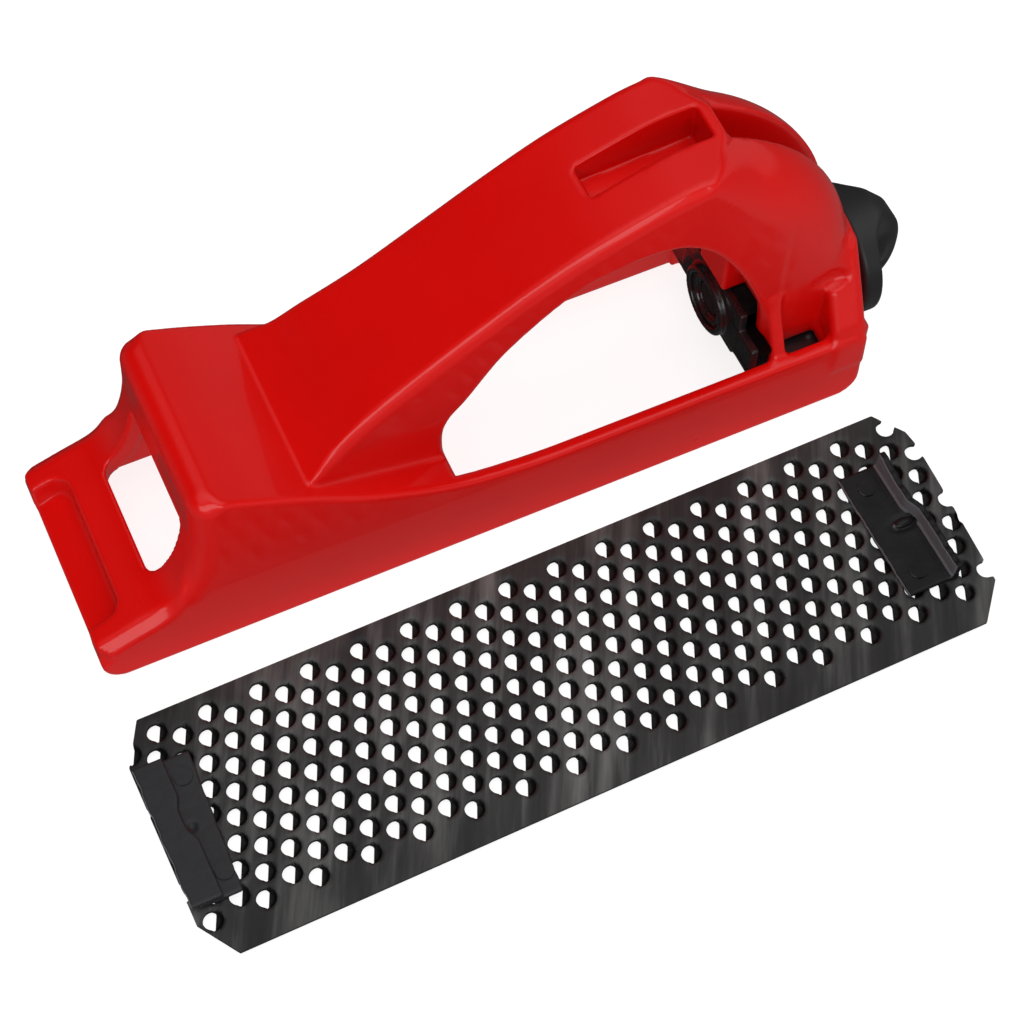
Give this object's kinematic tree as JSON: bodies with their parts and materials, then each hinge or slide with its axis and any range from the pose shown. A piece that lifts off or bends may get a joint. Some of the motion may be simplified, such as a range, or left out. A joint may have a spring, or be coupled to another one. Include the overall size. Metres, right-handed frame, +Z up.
{
  "type": "wood rasp",
  "caption": "Bow-handled wood rasp: a red cast body with a tension knob and carriage at the rear, and its perforated blade with hooked ends lying beside it.",
  "frame": {"origin": "under the middle of the whole outline, body and blade together, on the plane that the sole rests on", "axes": "+X from the nose to the knob, +Y from the blade to the body, +Z up from the sole to the handle"},
  "size_m": [0.1554, 0.0898, 0.0632],
  "materials": {
    "red_enamel": "gloss enamel on a die casting",
    "black_plastic": "satin",
    "dark_steel": "zinc plated, satin",
    "black_enamel": "gloss",
    "blade_steel": "blackened, oiled"
  },
  "bodies": {
    "body": {"body_casting": "red_enamel"},
    "screw": {"knob": "black_plastic", "tension_screw": "dark_steel", "knob_washer": "dark_steel", "thrust_washer": "dark_steel", "retaining_clip": "dark_steel"},
    "carriage": {"tension_carriage": "black_enamel", "carriage_nut": "dark_steel"},
    "blade": {"blade_sheet": "blade_steel", "front_hook": "black_enamel", "rear_hook": "black_enamel", "hook_welds": "dark_steel"}
  },
  "joints": [
    {"name": "knob_turn", "type": "hinge", "parent": "body", "child": "screw", "pos_m": [0.0646, 0.02541, 0.013], "axis": [-1, 0, 0], "range_deg": [-1080, 1080]},
    {"name": "carriage_travel", "type": "slide", "parent": "body", "child": "carriage", "axis": [1, 0, 0], "range_m": [-0.0031, 0.0031]},
    {"name": "blade_lift", "type": "slide", "parent": "body", "child": "blade", "axis": [0, 0, 1], "range_m": [0, 0.06]}
  ],
  "couplings": [
    {"joint": "carriage_travel", "follows": "knob_turn", "m_per_rad": 0.00015915}
  ]
}
